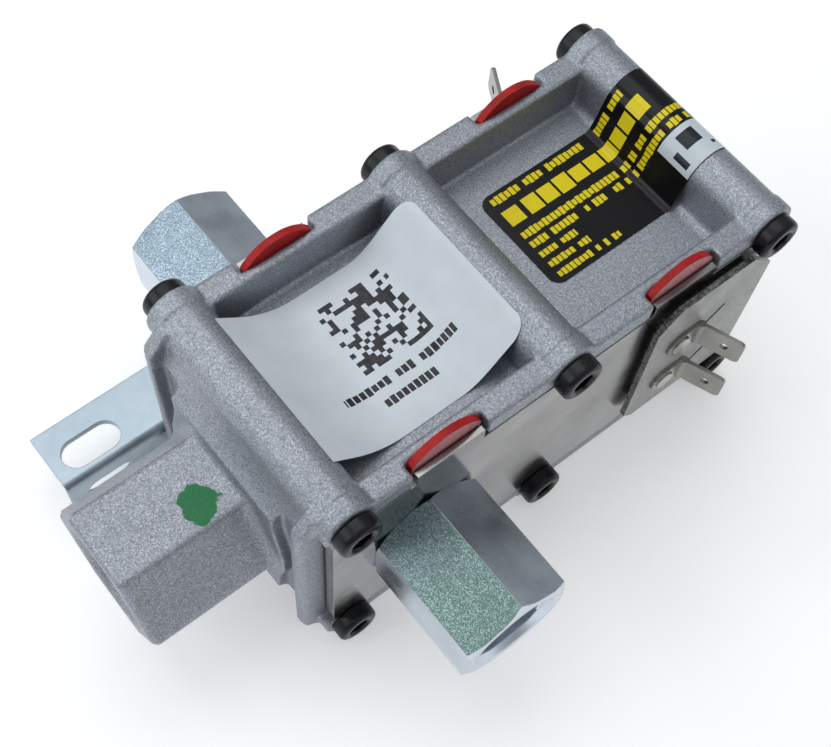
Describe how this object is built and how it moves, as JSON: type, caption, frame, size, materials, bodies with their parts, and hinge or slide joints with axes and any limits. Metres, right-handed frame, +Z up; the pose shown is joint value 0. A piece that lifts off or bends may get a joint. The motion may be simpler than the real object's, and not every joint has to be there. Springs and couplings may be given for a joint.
{
  "type": "gas oven safety valve",
  "caption": "Cast gas oven safety valve with a threaded inlet, opposed outlet fittings, electrical tab terminals and heated bimetal blades that open the outlets.",
  "frame": {"origin": "on the inlet axis, where the inlet thread starts behind its lead-in chamfer", "axes": "+X from the inlet towards the rear of the valve, +Y to the left seen from the inlet, +Z up, with the labels on top"},
  "size_m": [0.1371, 0.1044, 0.0586],
  "materials": {
    "cast_aluminium": "blasted die-cast aluminium, fine grain",
    "zinc_plate": "bright zinc-plated sheet steel",
    "silicone": "red silicone rubber",
    "black_screw": "black oxide steel, oiled satin",
    "zinc_fitting": "blue-bright zinc-plated steel",
    "fibre_board": "light grey insulating board",
    "ceramic": "unglazed steatite",
    "rivet_steel": "tinned steel",
    "terminal_metal": "nickel-plated steel, warm grey",
    "mica": "mica sheet",
    "lead_wire": "nickel-plated copper wire",
    "heater_ribbon": "oxidised resistance ribbon",
    "bimetal": "rolled bimetal strip",
    "seat_rubber": "black nitrile rubber",
    "anchor_steel": "machined steel",
    "bracket_zinc": "pale blue zinc-plated sheet steel",
    "label_white": "white coated paper",
    "label_black": "black vinyl with yellow print"
  },
  "bodies": {
    "housing": {"blade_anchor_left": "anchor_steel", "blade_anchor_right": "anchor_steel", "cover_screws_left_bottom": "black_screw", "cover_screws_left_top": "black_screw", "cover_screws_right_bottom": "black_screw", "cover_screws_right_top": "black_screw", "gasket_left": "silicone", "gasket_right": "silicone", "heater_lead_left_long": "lead_wire", "heater_lead_left_short": "lead_wire", "heater_lead_right_long": "lead_wire", "heater_lead_right_short": "lead_wire", "inner_plate_left": "zinc_plate", "inner_plate_right": "zinc_plate", "label_plain": "label_white", "label_rating": "label_black", "mica_sheet_left": "mica", "mica_sheet_right": "mica", "mounting_bracket": "bracket_zinc", "outer_plate_left": "zinc_plate", "outer_plate_right": "zinc_plate", "outlet_fitting_left": "zinc_fitting", "outlet_fitting_right": "zinc_fitting", "terminal_board_left": "fibre_board", "terminal_board_right": "fibre_board", "terminal_bushings_left": "ceramic", "terminal_bushings_right": "ceramic", "terminal_left_lower": "terminal_metal", "terminal_left_upper": "terminal_metal", "terminal_right_lower": "terminal_metal", "terminal_right_upper": "terminal_metal", "terminal_rivets_left": "rivet_steel", "terminal_rivets_right": "rivet_steel", "valve_body": "cast_aluminium"},
    "blade_right": {"bimetal_blade_right": "bimetal", "valve_disc_right": "seat_rubber", "disc_rivet_right": "rivet_steel", "mica_wrap_right": "mica", "heater_winding_right": "heater_ribbon", "anchor_rivets_right": "rivet_steel"},
    "blade_left": {"bimetal_blade_left": "bimetal", "valve_disc_left": "seat_rubber", "disc_rivet_left": "rivet_steel", "mica_wrap_left": "mica", "heater_winding_left": "heater_ribbon", "anchor_rivets_left": "rivet_steel"}
  },
  "joints": [
    {"name": "right_blade_open", "type": "hinge", "parent": "housing", "child": "blade_right", "pos_m": [0.1259, -0.01945, 0], "axis": [0, 0, -1], "range_deg": [0, 2], "stiffness_Nm_per_rad": 0.6, "springref_deg": -2.86},
    {"name": "left_blade_open", "type": "hinge", "parent": "housing", "child": "blade_left", "pos_m": [0.1259, 0.01945, 0], "axis": [0, 0, 1], "range_deg": [0, 2], "stiffness_Nm_per_rad": 0.6, "springref_deg": -2.86}
  ]
}
